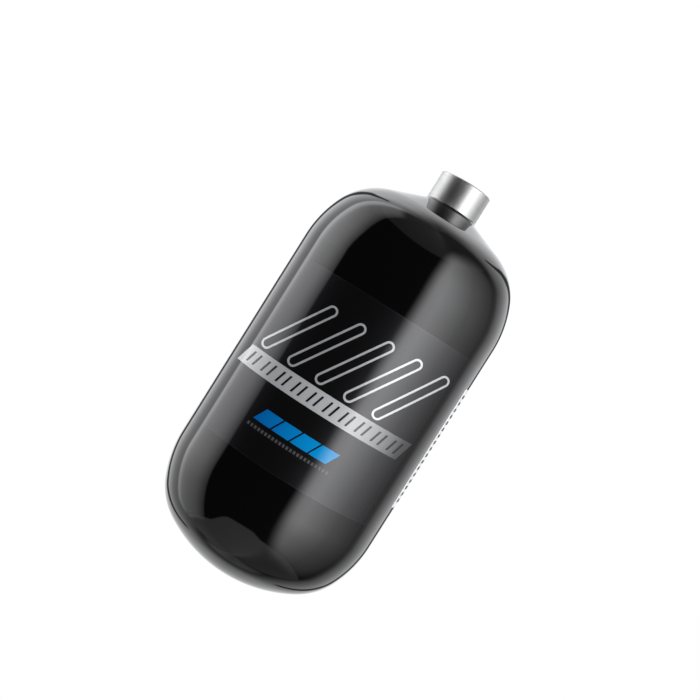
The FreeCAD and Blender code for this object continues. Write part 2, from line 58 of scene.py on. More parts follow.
# Sizes, in metres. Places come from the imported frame; the radii of the ends repeat the design's.
MM = 0.001
OUTER_RADIUS = 59.0 * MM
NECK_RADIUS = 14.75 * MM
NECK_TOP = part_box("liner")[1].z
COAT_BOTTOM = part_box("lacquer_coat")[0].z
FILLET_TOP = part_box("lacquer_coat")[1].z
FILLET_WIDTH = 2.4 * MM
FILLET_RISE = 0.8 * MM
FILM_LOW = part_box("label_film")[0].z
FILM_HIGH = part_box("label_film")[1].z
FILM_THICKNESS = 0.15 * MM
COAT_SHELL = 0.15 * MM
INK_THICKNESS = 0.1 * MM

# Inks stand this far out of what they are printed on, and the coat reaches this far into the neck.
PROUD = 0.02 * MM
BURIED = 0.02 * MM

# Internal thread of the neck: 60 degree flanks, with the groove's widths as shares of the pitch.
THREAD_PITCH = 1.5 * MM
THREAD_DEPTH = 0.812 * MM
THREAD_LENGTH = 21.0 * MM
THREAD_TOP = NECK_TOP - 4.0 * MM
GROOVE_HALF_MOUTH = 0.375
GROOVE_HALF_ROOT = 0.0625

# Where the data label starts, and how far it goes round, in degrees from the front.
LABEL_START = 72.5
LABEL_SWEEP = 66.0

# Angles of the vessel's base and shoulders, in degrees.
CROWN_ANGLE = 32.2
KNUCKLE_ANGLE = 66.0

# How finely things are drawn, the angle above which an edge is sharp, and a length too small to count.
LONG_ARC_STEPS = 24
SHORT_ARC_STEPS = 20
STRAIGHT_STEPS = 16
ROUND_SEGMENTS = 320
LINER_SEGMENTS = 192
SHARP_ANGLE = 32.0
TINY = 1e-7


# ---------------------------------------------------------------- outlines


def sine(degrees):
    return math.sin(math.radians(degrees))


def cosine(degrees):
    return math.cos(math.radians(degrees))


def tangent(degrees):
    return math.tan(math.radians(degrees))


def arc_points(centre, radius, start, end, steps):
    """Points (radius, height) along an arc whose angles are in degrees from the radial direction."""
    points = []
    for step in range(steps + 1):
        angle = start + (end - start) * step / steps
        points.append((centre[0] + radius * cosine(angle), centre[1] + radius * sine(angle)))
    return points


def straight(start, end, steps):
    """Points along a straight stretch."""
    points = []
    for step in range(steps + 1):
        share = step / steps
        points.append(tuple(a + (b - a) * share for a, b in zip(start, end)))
    return points


def steps_to(start, end, count):
    """Evenly spaced numbers after start, up to end."""
    return [start + (end - start) * step / count for step in range(1, count + 1)]


def vessel_outline(wall, crown, base, top, cone, pole, foot, neck):
    """Half outline of a vessel from its base pole up to its neck, as arcs and straight stretches."""
    crown_end = crown * sine(CROWN_ANGLE)
    knuckle_end = crown_end + base * (sine(KNUCKLE_ANGLE) - sine(CROWN_ANGLE))
    blend = (wall - knuckle_end) / (1 - sine(KNUCKLE_ANGLE))
    crown_centre = (0.0, pole + crown)
    base_centre = (
        (crown - base) * sine(CROWN_ANGLE),
        crown_centre[1] - (crown - base) * cosine(CROWN_ANGLE),
    )
    wall_low = base_centre[1] - (base - blend) * cosine(KNUCKLE_ANGLE)
    cone_start = knuckle_end - top * (sine(KNUCKLE_ANGLE) - sine(cone))
    cone_height = foot - (cone_start - neck) * tangent(cone)
    top_centre = (cone_start - top * sine(cone), cone_height - top * cosine(cone))
    wall_high = top_centre[1] + (top - blend) * cosine(KNUCKLE_ANGLE)

    low_crown, low_knuckle, shoulder = CROWN_ANGLE - 90, KNUCKLE_ANGLE - 90, 90 - KNUCKLE_ANGLE
    points = arc_points(crown_centre, crown, -90, low_crown, LONG_ARC_STEPS)
    points += arc_points(base_centre, base, low_crown, low_knuckle, SHORT_ARC_STEPS)[1:]
    points += arc_points((wall - blend, wall_low), blend, low_knuckle, 0, SHORT_ARC_STEPS)[1:]
    points += straight((wall, wall_low), (wall, wall_high), STRAIGHT_STEPS)[1:]
    points += arc_points((wall - blend, wall_high), blend, 0, shoulder, SHORT_ARC_STEPS)[1:]
    points += arc_points(top_centre, top, shoulder, 90 - cone, LONG_ARC_STEPS)[1:]
    points += straight(points[-1], (neck, foot), STRAIGHT_STEPS)[1:]
    return points


def offset_inwards(points, distance):
    """Move an outline that runs down the outside towards the axis, along its normals."""
    moved = []
    for index, point in enumerate(points):
        before = points[max(index - 1, 0)]
        after = points[min(index + 1, len(points) - 1)]
        along = Vector((after[0] - before[0], after[1] - before[1])).normalized()
        moved.append((max(point[0] + along.y * distance, 0.0), point[1] - along.x * distance))
    return moved


OUTER = {
    "wall": OUTER_RADIUS,
    "crown": 76.0 * MM,
    "base": 34.5 * MM,
    "top": 34.0 * MM,
    "cone": 21.3,
    "pole": -1.3006 * MM,
    "foot": FILLET_TOP - FILLET_RISE,
    "neck": NECK_RADIUS,
}
LINER = {
    "wall": 53.85 * MM,
    "crown": 80.0 * MM,
    "base": 24.0 * MM,
    "top": 26.0 * MM,
    "cone": 30.0,
    "pole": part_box("liner")[0].z,
    "foot": FILLET_TOP - FILLET_RISE - 8.5 * MM,
    "neck": NECK_RADIUS,
}
AIR = {
    "wall": 51.85 * MM,
    "crown": 77.0 * MM,
    "base": 22.0 * MM,
    "top": 24.0 * MM,
    "cone": 30.0,
    "pole": LINER["pole"] + 3.0 * MM,
    "foot": LINER["foot"] - 2.2 * MM,
    "neck": 8.188 * MM,
}


# ---------------------------------------------------------------- meshes


def finish_piece(name, mesh, material, nodes):
    """Make the object, give it its material and hide the CAD nodes it stands for."""
    for polygon in mesh.polygons:
        polygon.use_smooth = True
    piece = bpy.data.objects.new(name, mesh)
    bpy.context.scene.collection.objects.link(piece)
    mesh.materials.append(material)
    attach(piece, "root")
    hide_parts(*nodes)


def mark_sharp(mesh):
    """Keep edges between faces that meet at a sharp angle crisp under smooth shading."""
    work = bmesh.new()
    work.from_mesh(mesh)
    bmesh.ops.recalc_face_normals(work, faces=work.faces)
    for edge in work.edges:
        if edge.is_manifold and edge.calc_face_angle(0.0) > math.radians(SHARP_ANGLE):
            edge.smooth = False
    work.to_mesh(mesh)
    work.free()


def turned_mesh(name, outline, segments, groove=None):
    """Turn a half outline round the axis, closing it where it doesn't start on the axis.

    groove(radius, height, turn) can move a point of the surface outwards."""
    vertices = []
    rows = []
    for radius, height in outline:
        if radius < TINY:
            rows.append([len(vertices)] * segments)
            vertices.append((0.0, 0.0, height))
            continue
        row = []
        for index in range(segments):
            turn = index / segments
            reach = radius + (groove(radius, height, turn) if groove else 0.0)
            row.append(len(vertices))
            vertices.append((reach * sine(360 * turn), -reach * cosine(360 * turn), height))
        rows.append(row)
    faces = []
    count = len(rows)
    closed = outline[0][0] > TINY
    for lower in range(count if closed else count - 1):
        first, second = rows[lower], rows[(lower + 1) % count]
        for index in range(segments):
            after = (index + 1) % segments
            corners = [first[index], first[after], second[after], second[index]]
            face = [corner for place, corner in enumerate(corners) if corner not in corners[:place]]
            if len(face) > 2:
                faces.append(face)
    mesh = bpy.data.meshes.new(name)
    mesh.from_pydata(vertices, [], faces)
    mark_sharp(mesh)
    return mesh


def settle_order(work):
    """Put the points and faces in order of place, because solidify's own order changes each run."""
    for index, vertex in enumerate(sorted(work.verts, key=lambda vertex: tuple(vertex.co))):
        vertex.index = index
    work.verts.sort()
    for index, face in enumerate(sorted(work.faces, key=lambda face: tuple(face.calc_center_median()))):
        face.index = index
    work.faces.sort()


def wrapped_mesh(name, patches, outer, thickness):
    """Thin solids that follow the round wall, from grids of points laid out flat.

    Each patch is (grid, closed, place, skip): grid is rows of points, closed joins the last row to
    the first, place turns a point and a radius into a position, and skip(row, column) leaves a
    cell open."""
    work = bmesh.new()
    for grid, closed, place, skip in patches:
        rows = [[work.verts.new(place(across, up, outer)) for across, up in row] for row in grid]
        if closed:
            rows.append(rows[0])
        for row in range(len(rows) - 1):
            for column in range(len(rows[0]) - 1):
                if skip and skip(row, column):
                    continue
                work.faces.new((rows[row][column], rows[row + 1][column],
                                rows[row + 1][column + 1], rows[row][column + 1]))
    loose = [vertex for vertex in work.verts if not vertex.link_faces]
    bmesh.ops.delete(work, geom=loose, context="VERTS")
    bmesh.ops.solidify(work, geom=work.faces[:], thickness=thickness)
    settle_order(work)
    mesh = bpy.data.meshes.new(name)
    work.to_mesh(mesh)
    work.free()
    mark_sharp(mesh)
    return mesh


def on_front(across, up, radius):
    """A point drawn on the front, carried straight back onto the wall."""
    return (across, -math.sqrt(radius * radius - across * across), up)


def round_wall(turn, up, radius):
    """A point given by its angle from the front, in degrees."""
    return (radius * sine(turn), -radius * cosine(turn), up)


# ---------------------------------------------------------------- node helpers


def new_material(name):
    """A node material with its tree and its shader."""
    material = bpy.data.materials.new(name)
    material.use_nodes = True
    return material, material.node_tree, material.node_tree.nodes["Principled BSDF"]


def maths(tree, operation, *values):
    """One math node over numbers and sockets."""
    node = tree.nodes.new("ShaderNodeMath")
    node.operation = operation
    for socket, item in zip(node.inputs, values):
        if isinstance(item, (int, float)):
            socket.default_value = item
        else:
            tree.links.new(item, socket)
    return node.outputs[0]


def product(tree, first, *others):
    for other in others:
        first = maths(tree, "MULTIPLY", first, other)
    return first


def rest_of(tree, item):
    """1 minus a value."""
    return maths(tree, "SUBTRACT", 1.0, item)


def spread(tree, item, low, high, to_low=0.0, to_high=1.0, smooth=True):
    """Map a value from one range to another, with no overshoot and, unless told not, soft ends."""
    node = tree.nodes.new("ShaderNodeMapRange")
    node.interpolation_type = "SMOOTHSTEP" if smooth else "LINEAR"
    node.inputs["From Min"].default_value = low
    node.inputs["From Max"].default_value = high
    node.inputs["To Min"].default_value = to_low
    node.inputs["To Max"].default_value = to_high
    tree.links.new(item, node.inputs["Value"])
    return node.outputs["Result"]


def colour_ramp(tree, item, stops, interpolation="LINEAR"):
    """A colour that changes with a value; each stop is a value and its colour."""
    low, high = stops[0][0], stops[-1][0]
    node = tree.nodes.new("ShaderNodeValToRGB")
    node.color_ramp.interpolation = interpolation
    tree.links.new(spread(tree, item, low, high, smooth=False), node.inputs[0])
    elements = node.color_ramp.elements
    for place, _ in stops[1:-1]:
        elements.new((place - low) / (high - low))
    for element, (_, colour) in zip(elements, stops):
        element.color = (*colour, 1.0)
    return node.outputs["Color"]


def object_place(tree):
    """Position on the piece, in metres."""
    return tree.nodes.new("ShaderNodeTexCoord").outputs["Object"]


def split(tree, vector):
    node = tree.nodes.new("ShaderNodeSeparateXYZ")
    tree.links.new(vector, node.inputs[0])
    return node.outputs


def stretched(tree, vector, scale):
    node = tree.nodes.new("ShaderNodeMapping")
    node.inputs["Scale"].default_value = scale
    tree.links.new(vector, node.inputs["Vector"])
    return node.outputs["Vector"]


def noise(tree, vector, scale, detail=2.0, roughness=0.5):
    node = tree.nodes.new("ShaderNodeTexNoise")
    node.inputs["Scale"].default_value = scale
    node.inputs["Detail"].default_value = detail
    node.inputs["Roughness"].default_value = roughness
    tree.links.new(vector, node.inputs["Vector"])
    return node.outputs["Fac"]


def blend_colours(tree, factor, first, second):
    node = tree.nodes.new("ShaderNodeMix")
    node.data_type = "RGBA"
    tree.links.new(factor, node.inputs["Factor"])
    node.inputs["A"].default_value = (*first, 1.0)
    node.inputs["B"].default_value = (*second, 1.0)
    return node.outputs["Result"]


def set_roughness(tree, shader, grain, low, high):
    """Let the roughness vary with a noise, whose values lie mostly between 0.3 and 0.7."""
    tree.links.new(spread(tree, grain, 0.3, 0.7, low, high), shader.inputs["Roughness"])


def bump(tree, shader, height, strength, distance):
    node = tree.nodes.new("ShaderNodeBump")
    node.inputs["Strength"].default_value = strength
    node.inputs["Distance"].default_value = distance
    tree.links.new(height, node.inputs["Height"])
    tree.links.new(node.outputs["Normal"], shader.inputs["Normal"])


# ---------------------------------------------------------------- materials


def black_lacquer():
    """Deep black gloss coat: faint sprayed orange peel and slightly uneven polish."""
    material, tree, shader = new_material("black_lacquer")
    place = object_place(tree)
    polish = noise(tree, place, 40.0, 3.0)
    tone = blend_colours(tree, polish, (0.0014, 0.0014, 0.0016), (0.0022, 0.0022, 0.0025))
    tree.links.new(tone, shader.inputs["Base Color"])
    set_roughness(tree, shader, polish, 0.035, 0.06)
    shader.inputs["IOR"].default_value = 1.5
    bump(tree, shader, noise(tree, place, 260.0, 1.0), 0.05, 0.03 * MM)
    return material


def label_film_material():
    """Dark glossy film: a sharp clear face over a faintly metallic, hazy black, paler at its edges."""
    material, tree, shader = new_material("label_film")
    place = object_place(tree)
    grain = noise(tree, place, 900.0, 2.0)
    height = split(tree, place)["Z"]
    start, end = 0.3 * MM, 0.7 * MM
    low_edge = spread(tree, height, FILM_LOW + start, FILM_LOW + end, 1.0, 0.0)
    high_edge = spread(tree, height, FILM_HIGH - end, FILM_HIGH - start, 0.0, 1.0)
    edge = maths(tree, "MAXIMUM", low_edge, high_edge)
    tone = blend_colours(tree, edge, (0.0145, 0.0145, 0.0160), (0.024, 0.024, 0.026))
    tree.links.new(tone, shader.inputs["Base Color"])
    set_roughness(tree, shader, grain, 0.31, 0.37)
    shader.inputs["Metallic"].default_value = 0.8
    shader.inputs["Specular IOR Level"].default_value = 0.0
    shader.inputs["Specular Tint"].default_value = (0.0, 0.0, 0.0, 1.0)
    shader.inputs["Coat Weight"].default_value = 1.0
    shader.inputs["Coat Roughness"].default_value = 0.045
    shader.inputs["Coat IOR"].default_value = 1.5
    bump(tree, shader, grain, 0.03, 0.02 * MM)
    return material


def uncoloured_ink(name, roughness, coat, metallic, specular):
    """Screen-printed ink under gloss, with slightly uneven cover but no colour yet."""
    material, tree, shader = new_material(name)
    cover = noise(tree, object_place(tree), 700.0, 3.0)
    set_roughness(tree, shader, cover, roughness * 0.85, roughness * 1.15)
    shader.inputs["Metallic"].default_value = metallic
    shader.inputs["Specular IOR Level"].default_value = specular
    shader.inputs["Coat Weight"].default_value = coat
    shader.inputs["Coat Roughness"].default_value = 0.05
    bump(tree, shader, cover, 0.05, 0.02 * MM)
    return material, cover


def printed_ink(name, light, dark, roughness, coat, metallic=0.0, specular=0.5):
    """Ink of one colour, a little lighter where it lies thick."""
    material, cover = uncoloured_ink(name, roughness, coat, metallic, specular)
    tree = material.node_tree
    shader = tree.nodes["Principled BSDF"]
    tree.links.new(blend_colours(tree, cover, dark, light), shader.inputs["Base Color"])
    return material


def fade_and_painted_sheen_ink(name, roughness, coat, specular, *stops):
    """Ink whose colour changes across the front, partly a printed fade and partly painted sheen; each
    stop is a place in metres and its colour.
    """
    material, _ = uncoloured_ink(name, roughness, coat, 0.0, specular)
    tree = material.node_tree
    across = split(tree, object_place(tree))["X"]
    shader = tree.nodes["Principled BSDF"]
    tree.links.new(colour_ramp(tree, across, stops), shader.inputs["Base Color"])
    return material


def silver(level):
    """A very slightly blue grey."""
    return (level, level * 1.01, level * 1.03)


def turned_metal(name, light, dark, roughness):
    """Bright metal off the lathe: very fine rings round the axis and faint handling haze."""
    material, tree, shader = new_material(name)
    place = object_place(tree)
    rings = noise(tree, stretched(tree, place, (60.0, 60.0, 9000.0)), 1.0, 3.0, 0.6)
    haze = noise(tree, place, 90.0, 3.0)
    tree.links.new(blend_colours(tree, haze, dark, light), shader.inputs["Base Color"])
    shader.inputs["Metallic"].default_value = 1.0
    half_rings = maths(tree, "MULTIPLY", rings, 0.5)
    half_haze = maths(tree, "MULTIPLY", haze, 0.5)
    wear = maths(tree, "ADD", half_rings, half_haze)
    set_roughness(tree, shader, wear, roughness * 0.8, roughness * 1.2)
    shader.inputs["Anisotropic"].default_value = 0.5
    direction = tree.nodes.new("ShaderNodeTangent")
    direction.direction_type = "RADIAL"
    direction.axis = "Z"
    tree.links.new(direction.outputs["Tangent"], shader.inputs["Tangent"])
    bump(tree, shader, rings, 0.12, 0.02 * MM)
    return material


def wound_fibre(name, light, dark, angle):
    """Resin-wet tows wound at an angle to the axis, crossing in both directions."""
    mean_radius, tow_rate = 55.0 * MM, 1600.0
    material, tree, shader = new_material(name)
    place = object_place(tree)
    across, depth, height = split(tree, place)
    round_way = maths(tree, "MULTIPLY", maths(tree, "ARCTAN2", across, depth), mean_radius)
    bands = []
    for side in (-1, 1):
        lean = maths(tree, "MULTIPLY", round_way, side * cosine(angle))
        along = maths(tree, "ADD", maths(tree, "MULTIPLY", height, sine(angle)), lean)
        bands.append(maths(tree, "SINE", maths(tree, "MULTIPLY", along, tow_rate)))
    tows = maths(tree, "MAXIMUM", *bands)
    fine = noise(tree, stretched(tree, place, (200.0, 200.0, 2000.0)), 1.0, 2.0)
    cover = spread(tree, maths(tree, "ADD", tows, fine), -0.4, 1.4)
    tree.links.new(blend_colours(tree, cover, dark, light), shader.inputs["Base Color"])
    set_roughness(tree, shader, fine, 0.25, 0.4)
    bump(tree, shader, tows, 0.3, 0.1 * MM)
    return material


# ---------------------------------------------------------------- coat and film


def neck_fillet():
    """Arc that leaves the cone smoothly and runs up to the neck."""
    cone = OUTER["cone"]
    drop = FILLET_WIDTH * tangent(cone)
    rise = FILLET_RISE + drop
    turn = 2 * (math.degrees(math.atan2(rise, FILLET_WIDTH)) - cone)
    radius = math.hypot(FILLET_WIDTH, rise) / (2 * sine(turn / 2))
    low = (NECK_RADIUS + FILLET_WIDTH, OUTER["foot"] - drop)
    centre = (low[0] + radius * sine(cone), low[1] + radius * cosine(cone))
    return arc_points(centre, radius, 270 - cone, 270 - cone - turn, 8)


def coat_outline():
    """Outside of the coat, from the middle of its flat base up to the top of the fillet."""
    corner = 0.02 * MM
    crown, recess = OUTER["crown"], OUTER_RADIUS - FILM_THICKNESS
    flat_radius = math.sqrt(crown ** 2 - (crown + OUTER["pole"] - COAT_BOTTOM) ** 2)
    outline = vessel_outline(**OUTER)
    points = [(0.0, COAT_BOTTOM)]
    points += straight((flat_radius * 0.5, COAT_BOTTOM), (flat_radius, COAT_BOTTOM), 2)
    points += [point for point in outline if COAT_BOTTOM + corner < point[1] < FILM_LOW]
    points += [(OUTER_RADIUS, FILM_LOW), (recess, FILM_LOW)]
    points += [(recess, FILM_HIGH), (OUTER_RADIUS, FILM_HIGH)]
    for radius, height in outline:
        if height > FILM_HIGH and radius >= NECK_RADIUS + FILLET_WIDTH:
            points.append((radius, height))
    return points + neck_fillet()


def make_lacquer():
    """Black outer coat: a thin closed shell, flat under the base and filleted up to the neck."""
    collar, collar_depth, collar_clearance = NECK_RADIUS - BURIED, 1.2 * MM, 0.3 * MM
    outside = coat_outline()
    inside = [point for point in reversed(outside) if point[0] > NECK_RADIUS + collar_clearance]
    shell = outside + [(collar, FILLET_TOP), (collar, FILLET_TOP - collar_depth)]
    shell += offset_inwards(inside, COAT_SHELL) + [(0.0, COAT_BOTTOM + COAT_SHELL)]
    mesh = turned_mesh("lacquer", shell, ROUND_SEGMENTS)
    finish_piece("gloss_lacquer", mesh, black_lacquer(), ["lacquer_coat"])


def make_film():
    """Film sleeve round the middle of the barrel, in the coat's recess."""
    inner, outer, corner = OUTER_RADIUS - FILM_THICKNESS, OUTER_RADIUS, 0.03 * MM
    face_low, face_high = (outer, FILM_LOW + corner), (outer, FILM_HIGH - corner)
    section = [(inner, FILM_LOW), (outer - corner, FILM_LOW)]
    section += straight(face_low, face_high, 24)
    section += [(outer - corner, FILM_HIGH), (inner, FILM_HIGH)]
    mesh = turned_mesh("film", section, ROUND_SEGMENTS)
    finish_piece("film_sleeve", mesh, label_film_material(), ["label_film"])


# ---------------------------------------------------------------- prints


def ink_mesh(name, patches, lift=0.0):
    return wrapped_mesh(name, patches, OUTER_RADIUS + PROUD + lift, INK_THICKNESS)


def slanted_bar(left, right, low, high, lean, steps):
    """Grid of a bar with leaning ends: rows from left to right, each running up the lean."""
    rows = []
    for foot in [left] + steps_to(left, right, steps):
        rows.append(straight((foot, low), (foot + lean, high), 8))
    return rows, False, on_front, None


def slotted_band(low, high, lean):
    """Grid of the silver band with pairs of leaning slots left open."""
    margin, width, gap, pitch, pairs = 2.1 * MM, 1.2 * MM, 3.9 * MM, 9.3 * MM, 10
    height = high.z - low.z
    first = -48.0 * MM - lean * margin / height
    slots = []
    for number in range(pairs):
        for offset in (0.0, gap):
            start = first + number * pitch + offset
            slots.append((start, start + width))
    feet = [low.x]
    for start, end in slots:
        feet += steps_to(feet[-1], start, 4)
        feet += steps_to(start, end, 2)
    feet += steps_to(feet[-1], high.x - lean, 4)
    slot_steps = 6
    ups = [0.0, margin / 2, margin]
    ups += [margin + (height - 2 * margin) * step / slot_steps for step in range(1, slot_steps + 1)]
    ups += [height - margin / 2, height]
    grid = [[(foot + lean * up / height, low.z + up) for up in ups] for foot in feet]

    def open_cell(row, column):
        middle = (feet[row] + feet[row + 1]) / 2
        in_slot = any(start < middle < end for start, end in slots)
        return in_slot and 2 <= column < 2 + slot_steps

    return grid, False, on_front, open_cell


def capsule_ribbon(foot, head, half, line):
    """Grid of an outlined capsule: its line, followed once round."""
    end_steps, side_steps = 16, 12
    along = (Vector(head) - Vector(foot)).normalized()
    side = Vector((-along.y, along.x))
    path = []
    for centre, start in ((Vector(head), -90.0), (Vector(foot), 90.0)):
        for step in range(end_steps + 1):
            angle = start + 180.0 * step / end_steps
            path.append((centre, along * cosine(angle) + side * sine(angle)))
    ribbon = []
    for index, (centre, outwards) in enumerate(path):
        ribbon.append((centre, outwards))
        to_next = path[(index + 1) % len(path)][0] - centre
        if to_next.length > TINY:
            for step in range(1, side_steps):
                ribbon.append((centre + to_next * step / side_steps, outwards))
    grid = [straight(c + o * half, c + o * (half - line), 2) for c, o in ribbon]
    return grid, True, on_front, None


def make_band():
    """Silver band across the front, lighter at its left end by painted sheen, which fades to dark at
    its right-hand end.
    """
    # Colour stops: the light left end is painted sheen; the fade to dark at the right-hand end is
    # print.
    ink = fade_and_painted_sheen_ink(
        "band_ink", 0.36, 0.6, 0.5, (-50 * MM, silver(0.74)), (-35 * MM, silver(0.47)),
        (0, silver(0.48)), (15 * MM, silver(0.53)), (24 * MM, silver(0.34)),
        (34 * MM, silver(0.16)), (42 * MM, silver(0.04)), (47 * MM, silver(0.03)))
    low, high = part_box("silver_band")
    band = [slotted_band(low, high, 3.4 * MM)]
    finish_piece("band_ink", ink_mesh("band", band), ink, ["silver_band"])


def make_capsules():
    """Outlined leaning capsules above the band."""
    ink = printed_ink("silver_ink", silver(0.56), silver(0.47), 0.36, 0.6, 0.3)
    count, half, line, pitch, run = 5, 3.0 * MM, 1.1 * MM, 16.5 * MM, 20.0 * MM
    low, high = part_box("silver_capsules")
    capsules = []
    for number in range(count):
        foot = (low.x + half + number * pitch, low.z + half)
        head = (foot[0] + run, high.z - half)
        capsules.append(capsule_ribbon(foot, head, half, line))
    mesh = ink_mesh("capsules", capsules)
    finish_piece("capsule_ink", mesh, ink, ["silver_capsules"])


def bar_row(node, count, width, pitch, lean, steps):
    """Grids of a row of equal bars that fills a CAD node's box."""
    low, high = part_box(node)
    bars = []
    for number in range(count):
        left = low.x + number * pitch
        bars.append(slanted_bar(left, left + width, low.z, high.z, lean, steps))
    return bars


def make_lozenges():
    """Row of blue lozenges below the band, a little lighter to the right, partly as print and partly as
    painted sheen.
    """
    # The blue's lightening to the right is partly painted sheen.
    ink = fade_and_painted_sheen_ink("blue_ink", 0.4, 1.0, 0.0,
                     (-28 * MM, (0.0005, 0.14, 0.49)), (18 * MM, (0.002, 0.31, 0.68)))
    lozenges = bar_row("blue_lozenges", 4, 9.9 * MM, 10.9 * MM, 4.0 * MM, 16)
    mesh = ink_mesh("lozenges", lozenges)
    finish_piece("lozenge_ink", mesh, ink, ["blue_lozenges"])


def make_dashes():
    """Row of small grey dashes under the lozenges."""
    ink = printed_ink("grey_ink", (0.10, 0.10, 0.105), (0.08, 0.08, 0.085), 0.4, 1.0, specular=0.0)
    dashes = bar_row("grey_dashes", 23, 1.2 * MM, 2.1 * MM, 0.0, 4)
    finish_piece("dash_ink", ink_mesh("dashes", dashes), ink, ["grey_dashes"])


def round_patch(start, end, low, high, steps):
    """Grid of a plain patch between two angles."""
    grid = []
    for turn in [start] + steps_to(start, end, steps):
        grid.append(straight((turn, low), (turn, high), 4))
    return grid, False, round_wall, None


def make_data_label():
    """White label on the right-hand side."""
    ink = printed_ink("label_white", (0.80, 0.80, 0.80), (0.74, 0.74, 0.74), 0.4, 0.4)
    low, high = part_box("data_label")
    plate = [round_patch(LABEL_START, LABEL_START + LABEL_SWEEP, low.z, high.z, 64)]
    finish_piece("label_plate", ink_mesh("label_plate", plate), ink, ["data_label"])


def make_data_rows():
    """Blank dark rows on the label, in three lengths by turns."""
    ink = printed_ink("label_black", (0.03, 0.03, 0.03), (0.02, 0.02, 0.02), 0.5, 0.2)
    count, pitch, thick = 17, 4.0 * MM, 2.0 * MM
    margin, longest, shorter, lengths = 3.0, 60.0, 6.0, 3
    start = LABEL_START + margin
    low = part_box("data_rows")[0].z
    rows = []
    for number in range(count):
        foot = low + number * pitch
        end = start + longest - shorter * (number % lengths)
        rows.append(round_patch(start, end, foot, foot + thick, 48))
    mesh = ink_mesh("label_rows", rows, PROUD)
    finish_piece("label_row_ink", mesh, ink, ["data_rows"])


# ---------------------------------------------------------------- metal and winding


def thread_groove(radius, height, turn):
    """Depth of the internal thread's groove at a place on the bore."""
    if abs(radius - AIR["neck"]) > 0.001 * MM:
        return 0.0
    below = THREAD_TOP - height
    if below < 0 or below > THREAD_LENGTH:
        return 0.0
    phase = (height / THREAD_PITCH - turn) % 1.0
    from_root = abs(phase - 0.5)
    share = (GROOVE_HALF_MOUTH - from_root) / (GROOVE_HALF_MOUTH - GROOVE_HALF_ROOT)
    run_out = min((THREAD_LENGTH - below) / THREAD_PITCH, 1.0)
    return THREAD_DEPTH * min(max(share, 0.0), 1.0) * run_out


def make_liner():
    """Aluminium liner: one piece from the closed base to the bright threaded neck."""
    neck_edge, seat_edge = 0.5 * MM, 0.3 * MM
    seat, seat_depth, seat_angle = 10.6 * MM, 2.4 * MM, 30.0
    rows_per_pitch = 12
    bore = AIR["neck"]
    seat_floor = NECK_TOP - seat_depth
    bore_top = seat_floor - (seat - bore) * tangent(seat_angle)
    outline = vessel_outline(**LINER)
    outline += straight((NECK_RADIUS, LINER["foot"]), (NECK_RADIUS, NECK_TOP - neck_edge), 12)[1:]
    outline += [(NECK_RADIUS - neck_edge, NECK_TOP), (seat + seat_edge, NECK_TOP)]
    outline += [(seat, NECK_TOP - seat_edge), (seat, seat_floor), (bore, bore_top)]
    rows = int((bore_top - AIR["foot"]) / (THREAD_PITCH / rows_per_pitch))
    outline += straight((bore, bore_top), (bore, AIR["foot"]), rows)[1:]
    outline += list(reversed(vessel_outline(**AIR)))[1:]
    mesh = turned_mesh("liner", outline, LINER_SEGMENTS, thread_groove)
    metal = turned_metal("neck_metal", (0.43, 0.43, 0.425), (0.38, 0.38, 0.375), 0.37)
    finish_piece("threaded_liner", mesh, metal, ["liner"])


def inner_finishes():
    """Materials of the wound layers and the spigot, by CAD node."""
    carbon = {"light": (0.055, 0.055, 0.058), "dark": (0.006, 0.006, 0.007)}
    glass = {"light": (0.72, 0.74, 0.60), "dark": (0.45, 0.47, 0.34)}
    finishes = {}
    for number in (1, 2, 3):
        helical, hoop = f"carbon_wound_{number}", f"carbon_hooped_{number}"
        finishes[f"carbon_helical_{number}"] = wound_fibre(helical, angle=72, **carbon)
        finishes[f"carbon_hoop_{number}"] = wound_fibre(hoop, angle=88, **carbon)
    finishes["barrier_ply"] = wound_fibre("glass_barrier", angle=60, **glass)
    finishes["glass_overwrap"] = wound_fibre("glass_wound", angle=65, **glass)
    metal = turned_metal("spigot_metal", (0.80, 0.80, 0.79), (0.7, 0.7, 0.69), 0.3)
    finishes["base_spigot"] = metal
    return finishes


def dress_inner_layers():
    """Give the wound layers and the spigot, which stay as designed, their own finishes."""
    for node, material in inner_finishes().items():
        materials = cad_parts[node].data.materials
        for index in range(len(materials)):
            materials[index] = material
        if not materials:
            materials.append(material)


# ---------------------------------------------------------------- studio


def make_floor():
    """Plain white floor, bright enough to leave no horizon, and open from below."""
    radius, drop = 3.0, 0.2 * MM
    mesh = bpy.data.meshes.new("studio_floor")
    ring = [(radius * sine(angle), radius * cosine(angle), 0.0) for angle in range(0, 360, 10)]
    mesh.from_pydata(ring, [], [list(reversed(range(len(ring))))])
    floor = bpy.data.objects.new("studio_floor", mesh)
    floor.location.z = cad_low.z - drop
    bpy.context.scene.collection.objects.link(floor)
    material, tree, shader = new_material("floor_white")
    tree.nodes.remove(shader)
    glow = tree.nodes.new("ShaderNodeEmission")
    clear = tree.nodes.new("ShaderNodeBsdfTransparent")
    under = tree.nodes.new("ShaderNodeNewGeometry")
    mix = tree.nodes.new("ShaderNodeMixShader")
    tree.links.new(under.outputs["Backfacing"], mix.inputs["Fac"])
    tree.links.new(glow.outputs[0], mix.inputs[1])
    tree.links.new(clear.outputs[0], mix.inputs[2])
    tree.links.new(mix.outputs[0], tree.nodes["Material Output"].inputs["Surface"])
    mesh.materials.append(material)
    floor.visible_glossy = False
    floor.visible_diffuse = False
    floor.visible_shadow = False


def profile(tree, angle, *stops, curved=False):
    """A level that changes along an angle, straight or curved between the stops given.

    A curved ramp clips at 1, so the levels are drawn as shares of the highest one."""
    unit = max(level for _, level in stops)
    colours = [(place, (level / unit,) * 3) for place, level in stops]
    ramp = colour_ramp(tree, angle, colours, "CARDINAL" if curved else "LINEAR")
    return maths(tree, "MULTIPLY", ramp, unit)


